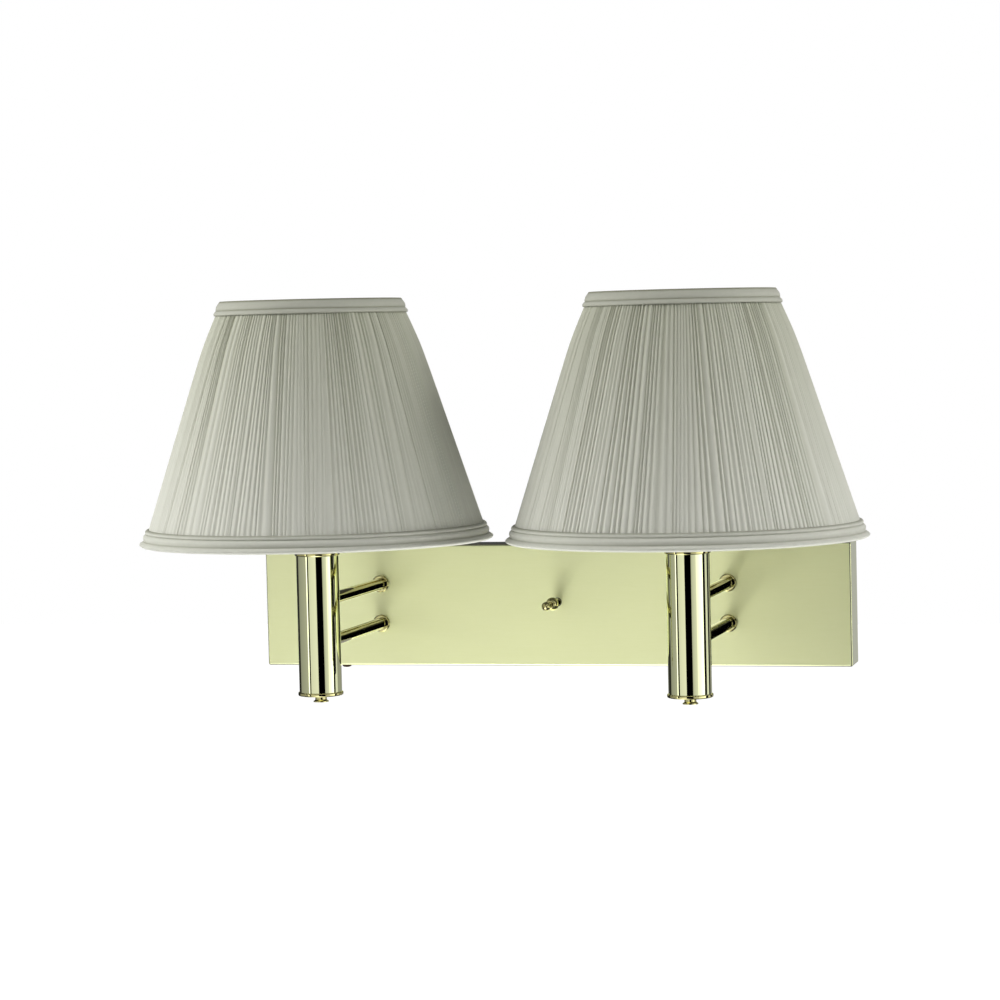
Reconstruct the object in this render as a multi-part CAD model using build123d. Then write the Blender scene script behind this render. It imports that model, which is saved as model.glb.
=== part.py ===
from build123d import *
import math
import os

# Two-light wall lamp with pleated shades, in millimetres.
# The origin is the middle of the wall plate, on the wall. X runs right, Y into the wall, Z up.

# Fits
SLIP = 0.1                 # radial clearance of a piece that slides or screws into another
SEAT = 0.1                 # gap under a piece that turns
LAYER = 0.3                # gap between the layers of a shade

# Wall plate, a pressed pan open at the back
PLATE_WIDTH = 472.0
PLATE_HEIGHT = 96.0
PLATE_DEPTH = 31.75
PLATE_SHEET = 1.2
PLATE_BEND = 1.5           # outer radius of the bends

# Columns
COLUMN_SPACING = 280.0
COLUMN_LIFT = 1.5          # middle of the columns above the middle of the plate
COLUMN_LENGTH = 101.6
COLUMN_OD = 31.75
COLUMN_WALL = 1.5
CAP_OVERHANG = 1.0         # lip of the end caps past the tube
CAP_LIP = 2.8
CAP_SPIGOT = 6.0
CAP_WALL = 1.5
CAP_EDGE = 0.9             # rounding of the lip

# Arms, two to a column
ARM_REACH = 165.0          # front of the plate to the column's axis
ARM_SPACING = 31.5
ARM_OD = 9.5
ARM_BORE = 5.0             # of the upper arm, which carries the lead
TENON_OD = 8.0             # threaded ends
TENON_FRONT = 7.0
ARM_SEAT = 12.0            # column's axis to the arm's front shoulder
COLLAR_OD = 13.8
COLLAR_THICK = 2.5
COLLAR_EDGE = 1.1
ARM_NUT_FLATS = 13.0
ARM_NUT_HEIGHT = 5.0
THREAD_SPARE = 3.0         # thread that shows past a nut

# Block inside the column
BLOCK_TOP_MARGIN = 16.0    # above the upper arm's axis
BLOCK_FOOT_MARGIN = 10.0   # below the lower arm's axis
WIRE_HOLE = 6.6            # passage for the lead through the block
HOLE_SPARE = 0.5           # depth past the end of a thread

# Finial under the column
STUD_OD = 6.0
STUD_GRIP = 11.0           # thread in the block
FINIAL_NECK = 8.7
FINIAL_FLARE = 11.5
FINIAL_HEIGHT = 5.0
FINIAL_COVE = 1.5          # height of the flare
FINIAL_RIM = 0.8

# Pipe, saddle and harp
PIPE_OD = 9.7
PIPE_BORE = 6.4
PIPE_GRIP = 9.0            # thread in the block
PIPE_NUT_FLATS = 14.0
PIPE_NUT_HEIGHT = 4.0
SADDLE_HALF = 25.0         # axis to the middle of an upright
SADDLE_SHEET = 1.5
SADDLE_WIDTH = 12.0
SADDLE_SHOULDER = 7.0      # height of the wide part of an upright
TANG_WIDTH = 4.6
TANG_HEIGHT = 6.0
FERRULE_OD = 7.0
FERRULE_BORE = 5.4
FERRULE_LENGTH = 14.0
HARP_WIRE = 3.2
HARP_HALF = 44.0           # axis to the middle of the wire where the harp is widest
HARP_SPREAD = 36.0         # height over which the legs spread
HARP_SHOULDER_OD = 12.0
HARP_SHOULDER = 2.5
HARP_FLAT = 14.0           # half of the flat top
HARP_CLOSE = 50.0          # height over which the legs close again
HARP_STUD = 6.2

# Socket and bulb
SOCKET_HUB_OD = 16.0
SOCKET_OD = 36.0
SOCKET_WALL = 1.0
SOCKET_CAP_HEIGHT = 18.0
SOCKET_HUB_HEIGHT = 6.0
SOCKET_LAP = 4.0           # shell inside the cap
SOCKET_FLOOR = 14.0        # of the insulating insert
SOCKET_RIM = 1.6           # shell past the insert
PIPE_IN_SOCKET = 7.0
BASE_OD = 26.2
BASE_HEIGHT = 25.0
BULB_OD = 60.0
BULB_NECK_OD = 28.0
BULB_WALL = 1.0
BULB_LENGTH = 86.0         # glass above the base

# Shade: the outer line of the pleats, then the layers inside it
SHADE_BOTTOM = 62.5
SHADE_HEIGHT = 179.8
SKIN_BOTTOM_R = 127.6
SKIN_KNEE_R = 80.8
SKIN_TOP_R = 67.0
SKIN_KNEE = 33.0           # knee below the top of the shade
SKIN_BOTTOM_INSET = 2.1    # end of the cloth above the bottom edge
SKIN_TOP_INSET = 2.0       # end of the cloth below the top edge
PLEATS = 190
PLEAT_DEPTH_BOTTOM = 1.7
PLEAT_DEPTH_TOP = 1.1
PLEAT_WANDER = 0.3         # share of a pleat by which the spacing varies
PLEAT_BACK = 0.5           # cloth left behind the valleys
LINING = 1.0
RING_WIRE = 3.0
RIB_WIRE = 2.2
RIB_COUNT = 6
KNEE_BEND = 40.0
SPIDER_ARMS = 3
SPIDER_DROP = 20.5         # top of the shade to the underside of the hub
SPIDER_REACH = 42.0        # level part of a spider arm
SPIDER_BEND = 15.0
HUB_OD = 22.0
HUB_SHEET = 1.5
HUB_GRIP = 3.0             # length of spider arm on the hub
TOP_TRIM_HEIGHT = 10.5
TOP_TRIM_BULGE = 1.8
TOP_CORD_ROLL = 3.6
TOP_CORD_BULGE = 0.9
BOTTOM_TRIM_HEIGHT = 12.8
BOTTOM_EDGE_ROLL = 4.2
BOTTOM_EDGE_BULGE = 2.0
BOTTOM_WIDE_ROLL = 5.4
BOTTOM_ROLL_BULGE = 1.3
ROLL_FOOT = 0.7            # thickness of the trim in its grooves
SHADE_FINIAL_OD = 12.0
SHADE_FINIAL_HEIGHT = 14.0
SHADE_FINIAL_GRIP = 8.0

# Switch
SWITCH_X = 4.0
SWITCH_Z = 2.5
SWITCH_OD = 26.0
SWITCH_DEPTH = 13.0
SWITCH_FLAT = 11.0         # axis to the flat with the supply terminals
SWITCH_EDGE = 1.2
BUSHING_OD = 9.5
BUSHING_LENGTH = 6.0
SWITCH_NUT_FLATS = 14.0
SWITCH_NUT_HEIGHT = 3.0
STRAP_SHEET = 1.2
STRAP_HALF = 24.0
STRAP_FOOT = 10.0
STRAP_WIDTH = 16.0
STRAP_STAND = 10.0         # strap's face behind the plate's inner face
SHAFT_OD = 6.0
SHAFT_IN_BODY = 6.0
SHAFT_HOLE_SPARE = 0.5
KNOB_BALL_OD = 10.2
KNOB_BALL_AT = 16.8        # centre of the ball in front of the plate
KNOB_NECK_OD = 4.6
KNOB_BEAD_OD = 7.0
KNOB_BEAD_AT = 38.2
KNOB_RING_OD = 7.6
KNOB_RING_AT = 24.6
KNOB_RING_WIDTH = 3.0

# Bracket on the wall and its screws
BRACKET_SHEET = 2.0
BRACKET_HALF = 190.0
BRACKET_HEIGHT = 44.0
BRACKET_WIRE_HOLE = 30.0
BOX_SPACING = 88.9         # outlet box screws
BOX_SLOT = 12.0
BOX_SLOT_WIDTH = 5.0
ANCHOR_SPACING = 300.0     # wall anchors
ANCHOR_HOLE = 5.5
TAB_AT = 172.0             # lock screws from the middle
TAB_WIDTH = 16.0
TAB_REACH = 29.0
TAB_CLEARANCE = 0.2        # tab inside the plate's return
LOCK_BEHIND = 7.0          # lock screw behind the front of the plate
LOCK_OD = 4.0
LOCK_LENGTH = 9.0
LOCK_HEAD_OD = 7.0
LOCK_HEAD = 2.2
LOCK_DOME = 0.8
GROUND_X = 24.0
GROUND_Z = 14.0
GROUND_OD = 4.0
GROUND_FLATS = 7.0
GROUND_HEAD = 3.0

# Leads
LEAD_OD = 3.0
LEAD_PLANE = 9.0           # leads in front of the wall
LEAD_BEND = 6.0
LEAD_TURN = 9.0
LEAD_DROP = 30.0           # where the leads turn down, from the switch's side
SUPPLY_OFFSET = 6.0
SUPPLY_DROP = 20.0
SUPPLY_RUN = 40.0
CONNECTOR_OD = 12.0
CONNECTOR_TIP = 8.0
CONNECTOR_LENGTH = 22.0

# Places that follow from the sizes
plate_front = -PLATE_DEPTH
plate_inner = plate_front + PLATE_SHEET
column_y = plate_front - ARM_REACH
column_low = COLUMN_LIFT - COLUMN_LENGTH / 2
column_high = COLUMN_LIFT + COLUMN_LENGTH / 2
column_bore_r = COLUMN_OD / 2 - COLUMN_WALL
upper_z = COLUMN_LIFT + ARM_SPACING / 2
lower_z = COLUMN_LIFT - ARM_SPACING / 2
block_low = lower_z - BLOCK_FOOT_MARGIN
block_high = upper_z + BLOCK_TOP_MARGIN
pipe_low = block_high - PIPE_GRIP
saddle_z = column_high + CAP_LIP
saddle_nut_z = saddle_z + SADDLE_SHEET
socket_z = saddle_nut_z + PIPE_NUT_HEIGHT
pipe_high = socket_z + PIPE_IN_SOCKET
shell_low = socket_z + SOCKET_CAP_HEIGHT - SOCKET_LAP
base_low = shell_low + SOCKET_FLOOR
base_high = base_low + BASE_HEIGHT
insert_high = base_high - SEAT
shell_high = insert_high + SOCKET_RIM
tang_low = saddle_z + SADDLE_SHOULDER
leg_low = tang_low + TANG_HEIGHT
shade_top = SHADE_BOTTOM + SHADE_HEIGHT
skin_low = SHADE_BOTTOM + SKIN_BOTTOM_INSET
skin_high = shade_top - SKIN_TOP_INSET
knee_z = shade_top - SKIN_KNEE
hub_z = shade_top - SPIDER_DROP
harp_high = hub_z - SEAT - HARP_SHOULDER - HARP_WIRE / 4
strap_y = plate_inner + STRAP_STAND
switch_y = strap_y + STRAP_SHEET


def at(r, z):
    """Point of a turned outline."""
    return Vector(r, 0, z)


def turned(*edges):
    """Solid of revolution about Z of a closed outline in the XZ plane."""
    return revolve(make_face(Curve() + list(edges)), Axis.Z)


def turned_points(*points):
    """Solid of revolution about Z of a closed outline of (r, z) points."""
    return turned(Polyline(*[at(r, z) for r, z in points], close=True))


def rod(radius, low, high):
    """Cylinder about Z between two heights."""
    return Pos(0, 0, low) * Cylinder(radius, high - low, align=(Align.CENTER, Align.CENTER, Align.MIN))


def along_y(solid):
    """Turn a piece that stands along Z so that it points along Y."""
    return Rot(-90, 0, 0) * solid


def rim(solid, radius):
    """Round edges of a turned piece at one radius."""
    circles = solid.edges().filter_by(GeomType.CIRCLE)
    return circles.filter_by(lambda edge: abs(edge.radius - radius) < 1e-6)


def wire(path, diameter):
    """Round wire along a path."""
    return sweep(Plane(path @ 0, z_dir=path % 0) * Circle(diameter / 2), path)


def hex_nut(flats, height, bore):
    """Hexagonal nut standing on Z = 0."""
    return extrude(RegularPolygon(flats / 2, 6, major_radius=False), height) - rod(bore / 2, 0, height)


# Wall plate and its fixings

def backplate():
    """Pan with holes for the arms, the switch shaft and the lock screws."""
    back = (Align.CENTER, Align.MAX, Align.CENTER)
    pan = Box(PLATE_WIDTH, PLATE_DEPTH, PLATE_HEIGHT, align=back)
    bends = pan.edges().group_by(Axis.Y)[0] + pan.edges().filter_by(Axis.Y)
    pan = fillet(bends, PLATE_BEND)
    inner_size = (PLATE_WIDTH - 2 * PLATE_SHEET, PLATE_DEPTH - PLATE_SHEET, PLATE_HEIGHT - 2 * PLATE_SHEET)
    hollow = Box(*inner_size, align=back)
    bends = hollow.edges().group_by(Axis.Y)[0] + hollow.edges().filter_by(Axis.Y)
    pan -= fillet(bends, PLATE_BEND - PLATE_SHEET)
    through = along_y(rod(TENON_OD / 2 + SLIP, plate_front, plate_inner))
    for side in (-1, 1):
        for z in (lower_z, upper_z):
            pan -= Pos(side * COLUMN_SPACING / 2, 0, z) * through
        lock = rod(LOCK_OD / 2 + SLIP, -PLATE_SHEET, PLATE_SHEET)
        pan -= Pos(side * TAB_AT, plate_front + LOCK_BEHIND, side * PLATE_HEIGHT / 2) * lock
    shaft = rod(SHAFT_OD / 2 + SHAFT_HOLE_SPARE, plate_front, plate_inner)
    return pan - Pos(SWITCH_X, 0, SWITCH_Z) * along_y(shaft)


def wall_bracket():
    """Flat bar with box slots, anchor holes and two bent tabs for the lock screws."""
    back = (Align.CENTER, Align.MAX, Align.CENTER)
    bar = Box(2 * BRACKET_HALF, BRACKET_SHEET, BRACKET_HEIGHT, align=back)
    tab_face = PLATE_HEIGHT / 2 - PLATE_SHEET - TAB_CLEARANCE
    for side in (-1, 1):
        foot = (Align.CENTER, Align.MAX, Align.MIN)
        ear = Box(TAB_WIDTH, BRACKET_SHEET, tab_face, align=foot)
        tab = Pos(0, 0, tab_face - BRACKET_SHEET) * Box(TAB_WIDTH, TAB_REACH, BRACKET_SHEET, align=foot)
        lock_y = plate_front + LOCK_BEHIND
        tab -= Pos(0, lock_y, tab_face - BRACKET_SHEET) * rod(LOCK_OD / 2 + SLIP, 0, BRACKET_SHEET)
        turn = 0 if side > 0 else 180
        bar += Pos(side * TAB_AT, 0, 0) * Rot(0, turn, 0) * (ear + tab)
        slot = extrude(Plane.XZ * SlotOverall(BOX_SLOT, BOX_SLOT_WIDTH), BRACKET_SHEET)
        bar -= Pos(side * BOX_SPACING / 2, 0, 0) * slot
        anchor = along_y(rod(ANCHOR_HOLE / 2, -BRACKET_SHEET, 0))
        bar -= Pos(side * ANCHOR_SPACING / 2, 0, 0) * anchor
    bar -= along_y(rod(BRACKET_WIRE_HOLE / 2, -BRACKET_SHEET, 0))
    return bar - Pos(GROUND_X, 0, GROUND_Z) * along_y(rod(GROUND_OD / 2 + SLIP, -BRACKET_SHEET, 0))


def lock_screw():
    """Pan-head screw, head down, its head seated at Z = 0."""
    head_r = LOCK_HEAD_OD / 2
    shank_r = LOCK_OD / 2
    return turned(
        Polyline(at(0, -LOCK_HEAD), at(0, LOCK_LENGTH), at(shank_r, LOCK_LENGTH), at(shank_r, 0),
                 at(head_r, 0), at(head_r, LOCK_DOME - LOCK_HEAD)),
        TangentArc(at(0, -LOCK_HEAD), at(head_r, LOCK_DOME - LOCK_HEAD), tangent=(1, 0, 0)))


def lock_screws():
    """One screw under the left end of the plate and one on top of the right end."""
    low = Pos(-TAB_AT, plate_front + LOCK_BEHIND, -PLATE_HEIGHT / 2) * lock_screw()
    high = Pos(TAB_AT, plate_front + LOCK_BEHIND, PLATE_HEIGHT / 2) * Rot(180, 0, 0) * lock_screw()
    return [low, high]


def ground_screw():
    """Hexagon-head screw for the earth wire, through the bracket."""
    head = extrude(RegularPolygon(GROUND_FLATS / 2, 6, major_radius=False), GROUND_HEAD)
    screw = head + rod(GROUND_OD / 2, -BRACKET_SHEET, 0)
    return Pos(GROUND_X, -BRACKET_SHEET, GROUND_Z) * Rot(90, 0, 0) * screw


# Switch

def switch_bracket():
    """Hat-shaped strap on the back of the plate, with a hole for the switch's bushing."""
    low = plate_inner
    high = strap_y
    sheet = STRAP_SHEET
    half = STRAP_HALF
    foot = STRAP_HALF + STRAP_FOOT
    right = [(half - sheet, high), (half - sheet, low), (foot, low), (foot, low + sheet),
             (half, low + sheet), (half, high + sheet)]
    left = [(-x, y) for x, y in reversed(right)]
    strap = extrude(make_face(Polyline(*right, *left, close=True)), STRAP_WIDTH / 2, both=True)
    strap -= along_y(rod(BUSHING_OD / 2 + SLIP, high, high + sheet))
    return Pos(SWITCH_X, 0, SWITCH_Z) * strap


def switch_body():
    """Rotary switch with a bushing in front and a blind hole for the shaft."""
    body = rod(SWITCH_OD / 2, 0, SWITCH_DEPTH)
    body = fillet(rim(body, SWITCH_OD / 2), SWITCH_EDGE)
    flat = (Align.CENTER, Align.MIN, Align.MIN)
    body -= Pos(0, SWITCH_FLAT, 0) * Box(SWITCH_OD, SWITCH_OD, SWITCH_DEPTH, align=flat)
    body += rod(BUSHING_OD / 2, -BUSHING_LENGTH, 0)
    body -= rod(SHAFT_OD / 2 + SLIP, -BUSHING_LENGTH, SHAFT_IN_BODY + SEAT)
    return Pos(SWITCH_X, switch_y, SWITCH_Z) * along_y(body)


def switch_nut():
    """Nut on the bushing, in front of the strap."""
    nut = hex_nut(SWITCH_NUT_FLATS, SWITCH_NUT_HEIGHT, BUSHING_OD + 2 * SLIP)
    return Pos(SWITCH_X, strap_y - SWITCH_NUT_HEIGHT, SWITCH_Z) * along_y(nut)


def switch_knob():
    """Turned spindle: shaft, ball, ringed neck and bead. It stands on Z, front up."""
    rear = plate_front - switch_y - SHAFT_IN_BODY
    shaft_r = SHAFT_OD / 2
    ball_r = KNOB_BALL_OD / 2
    neck_r = KNOB_NECK_OD / 2
    bead_r = KNOB_BEAD_OD / 2
    knob = rod(shaft_r, rear, KNOB_BALL_AT)
    knob += rod(neck_r, KNOB_BALL_AT, KNOB_BEAD_AT)
    knob += Pos(0, 0, KNOB_BALL_AT) * Sphere(ball_r)
    ring = rod(KNOB_RING_OD / 2, KNOB_RING_AT - KNOB_RING_WIDTH / 2, KNOB_RING_AT + KNOB_RING_WIDTH / 2)
    knob += fillet(rim(ring, KNOB_RING_OD / 2), KNOB_RING_WIDTH * 0.4)
    knob += Pos(0, 0, KNOB_BEAD_AT) * Sphere(bead_r)
    return Pos(SWITCH_X, plate_front, SWITCH_Z) * Rot(90, 0, 0) * knob


# Column and arms, about the column's axis

def column_tube():
    """Tube with two holes in its rear wall for the arms."""
    tube = rod(COLUMN_OD / 2, column_low, column_high) - rod(column_bore_r, column_low, column_high)
    for z in (lower_z, upper_z):
        tube -= Pos(0, 0, z) * along_y(rod(ARM_OD / 2 + SLIP, 0, COLUMN_OD))
    return tube


def end_cap(hole):
    """Flanged cup for the lower end of the tube, with its lip below Z = 0."""
    lip_r = COLUMN_OD / 2 + CAP_OVERHANG
    spigot_r = column_bore_r - SLIP
    cup_r = spigot_r - CAP_WALL
    cap = turned_points((hole / 2, -CAP_LIP), (lip_r, -CAP_LIP), (lip_r, 0), (spigot_r, 0),
                        (spigot_r, CAP_SPIGOT), (cup_r, CAP_SPIGOT), (cup_r, 0), (hole / 2, 0))
    return fillet(rim(cap, lip_r), CAP_EDGE)


def column_base_cap():
    return Pos(0, 0, column_low) * end_cap(STUD_OD + 2 * SLIP)


def column_top_cap():
    return Pos(0, 0, column_high) * Rot(180, 0, 0) * end_cap(PIPE_OD + 2 * SLIP)


def base_finial():
    """Trumpet-shaped finial with the stud that draws the base cap up to the block."""
    seat = column_low - CAP_LIP
    foot = seat - FINIAL_HEIGHT
    neck_r = FINIAL_NECK / 2
    flare_r = FINIAL_FLARE / 2
    stud_r = STUD_OD / 2
    stud_high = block_low + STUD_GRIP
    neck_low = foot + FINIAL_RIM + FINIAL_COVE
    flare = TangentArc(at(neck_r, neck_low), at(flare_r, foot + FINIAL_RIM), tangent=(0, 0, -1))
    return turned(
        flare,
        Polyline(at(flare_r, foot + FINIAL_RIM), at(flare_r, foot), at(0, foot), at(0, stud_high),
                 at(stud_r, stud_high), at(stud_r, seat), at(neck_r, seat), at(neck_r, neck_low)))


def arm_block():
    """Slug inside the tube. The arms, the pipe and the finial's stud all screw into it."""
    block = rod(column_bore_r - SLIP, block_low, block_high)
    socket = rod(TENON_OD / 2 + SLIP, ARM_SEAT - TENON_FRONT - HOLE_SPARE, ARM_SEAT)
    socket += rod(ARM_OD / 2 + SLIP, ARM_SEAT, COLUMN_OD)
    for z in (lower_z, upper_z):
        block -= Pos(0, 0, z) * along_y(socket)
    block -= rod(STUD_OD / 2 + SLIP, block_low, block_low + STUD_GRIP + HOLE_SPARE)
    block -= rod(PIPE_OD / 2 + SLIP, pipe_low, block_high)
    block -= rod(WIRE_HOLE / 2, upper_z, pipe_low)
    block -= Pos(0, 0, upper_z) * (Sphere(WIRE_HOLE / 2) + along_y(rod(WIRE_HOLE / 2, 0, ARM_SEAT)))
    return block


def arm():
    """Round bar along Z with a shoulder and a threaded tenon at each end."""
    tenon_r = TENON_OD / 2
    rear = ARM_REACH + PLATE_SHEET + ARM_NUT_HEIGHT + THREAD_SPARE
    bar = rod(ARM_OD / 2, ARM_SEAT, ARM_REACH)
    return bar + rod(tenon_r, ARM_SEAT - TENON_FRONT, ARM_SEAT) + rod(tenon_r, ARM_REACH, rear)


def upper_arm():
    bore = rod(ARM_BORE / 2, 0, 2 * ARM_REACH)
    return Pos(0, 0, upper_z) * along_y(arm() - bore)


def lower_arm():
    return Pos(0, 0, lower_z) * along_y(arm())


def arm_collar():
    """Rounded ring on an arm, against the plate."""
    ring = rod(COLLAR_OD / 2, ARM_REACH - COLLAR_THICK, ARM_REACH)
    ring = fillet(rim(ring, COLLAR_OD / 2), COLLAR_EDGE)
    return along_y(ring - rod(ARM_OD / 2 + SLIP, 0, 2 * ARM_REACH))


def arm_nut():
    """Nut on an arm's rear tenon, against the back of the plate."""
    nut = hex_nut(ARM_NUT_FLATS, ARM_NUT_HEIGHT, TENON_OD + 2 * SLIP)
    return Pos(0, ARM_REACH + PLATE_SHEET, 0) * along_y(nut)


def centre_pipe():
    """Threaded pipe from the block to the socket."""
    return rod(PIPE_OD / 2, pipe_low, pipe_high) - rod(PIPE_BORE / 2, pipe_low, pipe_high)


# Saddle, harp and socket, about the column's axis

def harp_saddle():
    """Bent strip clamped on the column, with a narrow tang at the end of each upright."""
    outer = SADDLE_HALF + SADDLE_SHEET / 2
    inner = SADDLE_HALF - SADDLE_SHEET / 2
    tray = Box(2 * outer, SADDLE_WIDTH, SADDLE_SHOULDER, align=(Align.CENTER, Align.CENTER, Align.MIN))
    tray = fillet(tray.edges().filter_by(Axis.Y).group_by(Axis.Z)[0], 2 * SADDLE_SHEET)
    hollow = Box(2 * inner, SADDLE_WIDTH, SADDLE_SHOULDER, align=(Align.CENTER, Align.CENTER, Align.MIN))
    hollow = fillet(hollow.edges().filter_by(Axis.Y).group_by(Axis.Z)[0], SADDLE_SHEET)
    strip = tray - Pos(0, 0, SADDLE_SHEET) * hollow
    tang = Box(SADDLE_SHEET, TANG_WIDTH, TANG_HEIGHT, align=(Align.CENTER, Align.CENTER, Align.MIN))
    for side in (-1, 1):
        strip += Pos(side * SADDLE_HALF, 0, SADDLE_SHOULDER) * tang
    strip -= rod(PIPE_OD / 2 + SLIP, 0, SADDLE_SHEET)
    return Pos(0, 0, saddle_z) * strip


def saddle_nut():
    """Nut on the pipe that clamps the saddle and the top cap."""
    return Pos(0, 0, saddle_nut_z) * hex_nut(PIPE_NUT_FLATS, PIPE_NUT_HEIGHT, PIPE_OD + 2 * SLIP)


def harp_ferrule():
    """Sleeve over a tang and the foot of a harp leg, resting on the saddle's shoulder."""
    sleeve = rod(FERRULE_OD / 2, 0, FERRULE_LENGTH) - rod(FERRULE_BORE / 2, 0, FERRULE_LENGTH)
    return Pos(0, 0, tang_low) * sleeve


def harp():
    """Bent wire round the bulb, with a shoulder and a threaded stud for the shade on top."""
    straight = tang_low + FERRULE_LENGTH + HARP_WIRE
    side = [(SADDLE_HALF, leg_low), (SADDLE_HALF, straight), (HARP_HALF, straight + HARP_SPREAD),
            (HARP_HALF, harp_high - HARP_CLOSE), (HARP_FLAT, harp_high)]
    right = [at(x, z) for x, z in side]
    left = [at(-x, z) for x, z in reversed(side)]
    bends = [HARP_SPREAD, HARP_SPREAD, HARP_CLOSE * 0.8, HARP_FLAT]
    path = FilletPolyline(*right, *left, radius=bends + bends[::-1])
    loop = wire(path, HARP_WIRE)
    shoulder = rod(HARP_SHOULDER_OD / 2, harp_high, hub_z - SEAT)
    stud = rod(HARP_STUD / 2, harp_high, hub_z + HUB_SHEET + SHADE_FINIAL_GRIP)
    return loop + shoulder + stud


def socket_cap():
    """Brass cup that screws on the pipe."""
    hub_r = SOCKET_HUB_OD / 2
    cup_r = SOCKET_OD / 2
    hole_r = PIPE_OD / 2 + SLIP
    wall = SOCKET_WALL
    hub = socket_z + SOCKET_HUB_HEIGHT
    top = socket_z + SOCKET_CAP_HEIGHT
    outer = TangentArc(at(cup_r, shell_low), at(hub_r, hub), tangent=(0, 0, -1))
    inner = TangentArc(at(cup_r - wall, shell_low), at(hub_r, hub + wall), tangent=(0, 0, -1))
    return turned(
        outer, inner,
        Polyline(at(hub_r, hub), at(hub_r, socket_z), at(hole_r, socket_z), at(hole_r, hub + wall),
                 at(hub_r, hub + wall)),
        Polyline(at(cup_r - wall, shell_low), at(cup_r - wall, top), at(cup_r, top), at(cup_r, shell_low)))


def socket_shell():
    """Brass sleeve pushed into the cap."""
    outer_r = SOCKET_OD / 2 - SOCKET_WALL - SLIP
    return rod(outer_r, shell_low, shell_high) - rod(outer_r - SOCKET_WALL, shell_low, shell_high)


def socket_insert():
    """Insulating cup inside the sleeve. The bulb's base screws into it."""
    outer_r = SOCKET_OD / 2 - 2 * SOCKET_WALL - 2 * SLIP
    cup = rod(outer_r, shell_low, insert_high)
    return cup - rod(BASE_OD / 2 + SLIP, base_low, insert_high)


def bulb_base():
    """Screw base of the bulb."""
    return rod(BASE_OD / 2, base_low, base_high)


def bulb_glass():
    """Pear-shaped glass envelope standing on the base."""
    globe_z = base_high + BULB_LENGTH - BULB_OD / 2
    outside = bulb_outline(BULB_OD / 2, BULB_NECK_OD / 2, globe_z)
    inside = bulb_outline(BULB_OD / 2 - BULB_WALL, BULB_NECK_OD / 2 - BULB_WALL, globe_z)
    return outside - inside


def bulb_outline(globe_r, neck_r, globe_z):
    """Solid pear: a dome, and flanks that run down to the neck."""
    diagonal = globe_r * math.sqrt(0.5)
    crown = globe_z + globe_r
    dome = ThreePointArc(at(globe_r, globe_z), at(diagonal, globe_z + diagonal), at(0, crown))
    flank = TangentArc(at(globe_r, globe_z), at(neck_r, base_high), tangent=(0, 0, -1))
    return turned(dome, flank, Polyline(at(neck_r, base_high), at(0, base_high), at(0, crown)))


# Shade, about the column's axis

def skin_line(inset):
    """Points of the shade's outline at the bottom, the knee and the top, moved inwards."""
    return [(SKIN_BOTTOM_R - inset, skin_low), (SKIN_KNEE_R - inset, knee_z), (SKIN_TOP_R - inset, skin_high)]


def skin_radius(z):
    """Outer radius of the pleats at a height."""
    low, knee, high = skin_line(0)
    a, b = (low, knee) if z < knee_z else (knee, high)
    return a[0] + (b[0] - a[0]) * (z - a[1]) / (b[1] - a[1])


pleat_inner = PLEAT_DEPTH_BOTTOM + PLEAT_BACK
lining_outer = pleat_inner + LAYER
lining_inner = lining_outer + LINING
rib_inset = lining_inner + LAYER + RIB_WIRE * 0.6
ring_inset = lining_inner + LAYER + RING_WIRE * 0.6
ring_low = skin_low + RING_WIRE / 2
ring_high = skin_high - RING_WIRE / 2


def pleat_section(radius, depth, z):
    """Zigzag outline of the pleats at one height, with uneven spacing."""
    points = []
    for i in range(PLEATS):
        wander = PLEAT_WANDER * (math.sin(2.4 * i) + math.sin(0.9 * i)) / 2
        ridge = 2 * math.pi * (i + wander) / PLEATS
        valley = 2 * math.pi * (i + 0.5) / PLEATS
        points.append((radius * math.cos(ridge), radius * math.sin(ridge), z))
        points.append(((radius - depth) * math.cos(valley), (radius - depth) * math.sin(valley), z))
    return make_face(Polyline(*points, close=True))


def shade_pleats():
    """Pleated cloth: sharp ridges outside, a smooth back inside."""
    low, knee, high = skin_line(0)
    middle_depth = (PLEAT_DEPTH_BOTTOM + PLEAT_DEPTH_TOP) / 2
    sections = [pleat_section(low[0], PLEAT_DEPTH_BOTTOM, low[1]),
                pleat_section(knee[0], middle_depth, knee[1]),
                pleat_section(high[0], PLEAT_DEPTH_TOP, high[1])]
    back = skin_line(pleat_inner)
    core = turned_points((0, skin_low), *back, (0, skin_high))
    return loft(sections, ruled=True) - core


def shade_lining():
    """Smooth stiff lining behind the pleats."""
    return turned_points(*skin_line(lining_outer), *reversed(skin_line(lining_inner)))


def wire_ring(radius, z):
    """Ring of rolled eight-sided wire."""
    return revolve(Plane.XZ * Pos(radius, z) * RegularPolygon(RING_WIRE / 2, 8), Axis.Z)


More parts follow.
